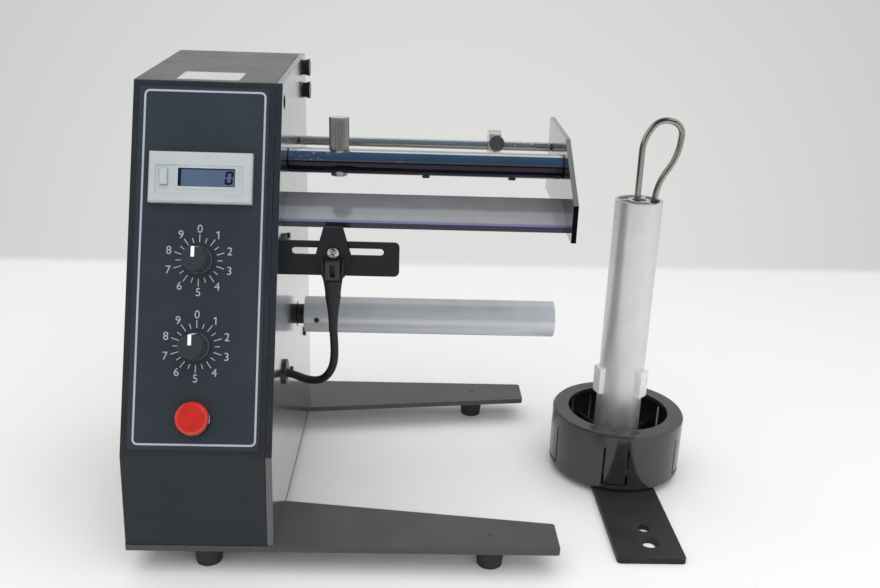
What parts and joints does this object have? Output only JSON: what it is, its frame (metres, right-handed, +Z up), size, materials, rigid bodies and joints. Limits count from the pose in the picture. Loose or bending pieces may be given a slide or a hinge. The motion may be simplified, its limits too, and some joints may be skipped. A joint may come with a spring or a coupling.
{
  "type": "label dispenser",
  "caption": "Bench-top label dispenser: sloping control panel, peel plate, press bar, guide shaft, take-up tube and a separate roll holder with a core drum.",
  "frame": {"origin": "on the bench, under the middle of the outline seen from above", "axes": "+X along the bars away from the housing, +Y to the back, +Z up"},
  "size_m": [0.2955, 0.192, 0.2324],
  "materials": {
    "housing": "fine textured black powder coat",
    "leg_paint": "fine textured black powder coat",
    "panel_film": "printed satin film, dark blue grey",
    "counter_white": "cool white moulded plastic",
    "display": "slate blue liquid crystal window",
    "counter_key": "cool white moulded plastic",
    "knob": "black moulded plastic with a white pointer",
    "red_lens": "translucent red lens",
    "switch_ring": "black moulded plastic",
    "chrome_bar": "polished chrome plate",
    "nickel_screw": "bright nickel plate, knurled",
    "zinc_screw": "zinc plated steel",
    "black_screw": "black oxide steel",
    "steel": "plain steel",
    "peel": "glossy black coat",
    "bracket": "satin black coat",
    "sensor_plastic": "black moulded plastic",
    "cable_black": "black sheath",
    "rubber": "black rubber",
    "aluminium": "fine drawn, satin anodised",
    "bronze": "sintered bronze",
    "gear_plastic": "natural acetal",
    "motor": "zinc plated can",
    "board": "green glass-fibre board",
    "core_iron": "laminated iron, varnished",
    "coil": "taped winding",
    "inlet_black": "black moulded plastic",
    "drum": "glossy black moulded plastic",
    "clip_plastic": "milky clear moulded plastic",
    "wire": "polished stainless wire"
  },
  "bodies": {
    "root": {"base_plate": "leg_paint", "rubber_feet": "rubber", "base_screws": "zinc_screw", "side_plate": "housing", "cover": "housing", "front_overlay": "panel_film", "counter_case": "counter_white", "counter_display": "display", "potentiometers": "steel", "pot_nuts": "zinc_screw", "switch_bezel": "switch_ring", "switch_body": "inlet_black", "guide_shaft": "chrome_bar", "press_bar": "chrome_bar", "grub_screws": "black_screw", "peel_plate": "peel", "end_plate": "housing", "bar_screws": "zinc_screw", "sensor_bracket": "bracket", "bracket_screws": "zinc_screw", "sensor_cable": "cable_black", "cable_grommet": "rubber", "spindle_bushes": "bronze", "motor_plate": "zinc_screw", "motor_standoffs": "zinc_screw", "standoff_screws": "black_screw", "gear_motor": "motor", "holder_screws": "black_screw", "control_board": "board", "board_posts": "zinc_screw", "transformer_core": "core_iron", "transformer_coil": "coil", "power_inlet": "inlet_black", "fuse_holder": "inlet_black"},
    "takeup": {"takeup_tube": "aluminium", "tube_screw": "black_screw", "spindle": "steel", "spindle_clip": "black_screw", "drive_gear": "gear_plastic"},
    "motor_pinion": {"pinion": "bronze", "motor_shaft": "steel"},
    "length_dial": {"length_knob": "knob", "length_shaft": "steel"},
    "speed_dial": {"speed_knob": "knob", "speed_shaft": "steel"},
    "power_key": {"power_button": "red_lens"},
    "reset_key": {"counter_button": "counter_key"},
    "guide_ring": {"guide_collar": "nickel_screw"},
    "guide_screw": {"collar_screw": "nickel_screw"},
    "press_screw": {"thumb_screw": "nickel_screw"},
    "label_sensor": {"sensor_carriage": "bracket", "sensor_head": "sensor_plastic", "sensor_boot": "sensor_plastic", "carriage_screw": "zinc_screw"},
    "roll_holder": {"holder_arm": "leg_paint", "holder_axle": "steel"},
    "roll_reel": {"core_drum": "drum", "holder_tube": "aluminium", "tube_clips": "clip_plastic"},
    "loop_clip": {"wire_clip": "wire"}
  },
  "joints": [
    {"name": "takeup_spin", "type": "hinge", "parent": "root", "child": "takeup", "pos_m": [-0.00725, 0.0101, 0.0953], "axis": [1, 0, 0], "continuous": true},
    {"name": "motor_spin", "type": "hinge", "parent": "root", "child": "motor_pinion", "pos_m": [-0.08925, 0.0101, 0.12565], "axis": [1, 0, 0], "continuous": true},
    {"name": "length_turn", "type": "hinge", "parent": "root", "child": "length_dial", "pos_m": [-0.11375, -0.06348, 0.14801], "axis": [0, -0.9284, 0.3716], "range_deg": [-300, 0]},
    {"name": "speed_turn", "type": "hinge", "parent": "root", "child": "speed_dial", "pos_m": [-0.11375, -0.07842, 0.11069], "axis": [0, -0.9284, 0.3716], "range_deg": [-300, 0]},
    {"name": "power_press", "type": "slide", "parent": "root", "child": "power_key", "axis": [0, 0.9284, -0.3716], "range_m": [0, 0.0015], "stiffness_N_per_m": 300, "springref_m": -0.002},
    {"name": "reset_press", "type": "slide", "parent": "root", "child": "reset_key", "axis": [0, 0.9284, -0.3716], "range_m": [0, 0.0008], "stiffness_N_per_m": 200, "springref_m": -0.001},
    {"name": "collar_slide", "type": "slide", "parent": "root", "child": "guide_ring", "axis": [1, 0, 0], "range_m": [-0.102, 0.0265]},
    {"name": "collar_screw_turn", "type": "hinge", "parent": "guide_ring", "child": "guide_screw", "pos_m": [0.02975, 0.01746, 0.19195], "axis": [0, -0.9744, 0.225], "range_deg": [-360, 360]},
    {"name": "press_screw_turn", "type": "hinge", "parent": "root", "child": "press_screw", "pos_m": [-0.05195, -0.0114, 0.1955], "axis": [0, 0, 1], "range_deg": [-360, 360]},
    {"name": "sensor_slide", "type": "slide", "parent": "root", "child": "label_sensor", "axis": [1, 0, 0], "range_m": [-0.016, 0.022], "deforming": ["sensor_cable"]},
    {"name": "holder_lift", "type": "slide", "parent": "root", "child": "roll_holder", "axis": [0, 0, 1], "range_m": [0, 0.12]},
    {"name": "reel_spin", "type": "hinge", "parent": "roll_holder", "child": "roll_reel", "pos_m": [0.10975, 0.0162, 0.06], "axis": [0, 0, 1], "continuous": true},
    {"name": "clip_pull", "type": "slide", "parent": "roll_reel", "child": "loop_clip", "axis": [0, 0, 1], "range_m": [0, 0.05]}
  ],
  "couplings": [
    {"joint": "motor_spin", "follows": "takeup_spin", "ratio": -3}
  ]
}
